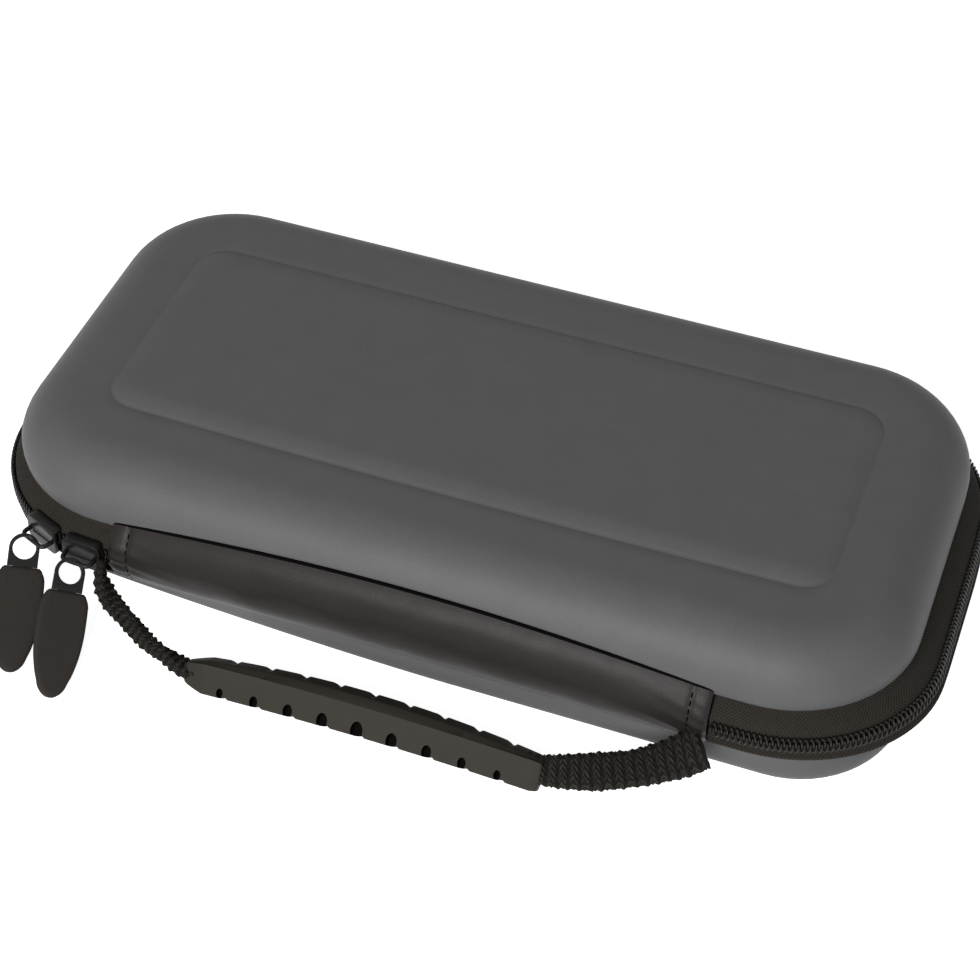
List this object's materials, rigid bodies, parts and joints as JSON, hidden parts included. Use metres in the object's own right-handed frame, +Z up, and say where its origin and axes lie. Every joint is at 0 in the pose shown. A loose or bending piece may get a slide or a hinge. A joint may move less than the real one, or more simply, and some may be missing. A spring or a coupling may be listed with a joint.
{
  "type": "hard console case",
  "caption": "Zipped hard case for a hand-held game console, with a moulded lid, a spine hinge, a padded inside and a carrying handle.",
  "frame": {"origin": "middle of the base's flat underside, under the middle of the zip line", "axes": "+X along the case, to the right as seen from the handle; +Y away from the handle; +Z up, from base to lid"},
  "size_m": [0.262, 0.1713, 0.0477],
  "materials": {
    "shell_skin": "fine matte grain over moulded foam",
    "zip_tape": "woven herringbone",
    "zip_coil": "satin nylon",
    "edge_trim": "ribbed trim",
    "spine_leather": "smooth with a soft sheen",
    "lining_fabric": "woven",
    "slider_metal": "black paint, bright at the edges",
    "pull_metal": "black paint",
    "pull_rubber": "matte",
    "webbing": "coarse ribbed webbing",
    "grip_rubber": "matte",
    "tray_fleece": "short fleece",
    "elastic": "ribbed elastic",
    "flap_fleece": "short fleece",
    "card_fabric": "woven",
    "mesh": "open mesh"
  },
  "bodies": {
    "base": {"base_shell": "shell_skin", "base_zip_tape": "zip_tape", "base_zip_coil": "zip_coil", "base_binding": "edge_trim", "console_tray": "tray_fleece", "console_strap_left": "elastic", "console_strap_right": "elastic"},
    "lid": {"lid_shell": "shell_skin", "lid_zip_tape": "zip_tape", "lid_zip_coil": "zip_coil", "lid_binding": "edge_trim", "spine_cover": "spine_leather", "spine_lining": "lining_fabric", "divider_flap": "flap_fleece", "divider_binding": "edge_trim", "card_row_near": "card_fabric", "card_row_far": "card_fabric", "mesh_pocket": "mesh", "mesh_pocket_hem": "elastic"},
    "slider_a": {"slider_a_body": "slider_metal", "slider_a_bridge": "slider_metal"},
    "slider_b": {"slider_b_body": "slider_metal", "slider_b_bridge": "slider_metal"},
    "pull_a": {"pull_a_ring": "pull_metal", "pull_a_tab": "pull_rubber"},
    "pull_b": {"pull_b_ring": "pull_metal", "pull_b_tab": "pull_rubber"},
    "handle": {"handle_strap": "webbing", "handle_grip": "grip_rubber"}
  },
  "joints": [
    {"name": "lid_hinge", "type": "hinge", "parent": "base", "child": "lid", "pos_m": [0, -0.0686, 0.021], "axis": [1, 0, 0], "range_deg": [0, 115], "deforming": ["spine_cover", "spine_lining", "lid_zip_tape", "lid_zip_coil"]},
    {"name": "slider_b_travel", "type": "hinge", "parent": "base", "child": "slider_b", "pos_m": [-0.0905, -0.0275, 0.021], "axis": [0, 0, -1], "range_deg": [0, 65]},
    {"name": "slider_a_travel", "type": "hinge", "parent": "base", "child": "slider_a", "pos_m": [-0.0905, -0.0275, 0.021], "axis": [0, 0, -1], "range_deg": [0, 65]},
    {"name": "pull_a_swing", "type": "hinge", "parent": "slider_a", "child": "pull_a", "pos_m": [-0.09365, -0.07259, 0.021], "axis": [0.9976, -0.0698, 0], "range_deg": [-110, 20]},
    {"name": "pull_b_swing", "type": "hinge", "parent": "slider_b", "child": "pull_b", "pos_m": [-0.1096, -0.06846, 0.021], "axis": [0.9063, -0.4226, 0], "range_deg": [-110, 20]},
    {"name": "handle_swing", "type": "hinge", "parent": "base", "child": "handle", "pos_m": [0, -0.0706, 0.02], "axis": [1, 0, 0], "range_deg": [-113, 30]}
  ],
  "couplings": [
    {"joint": "slider_a_travel", "follows": "slider_b_travel", "ratio": 1}
  ]
}
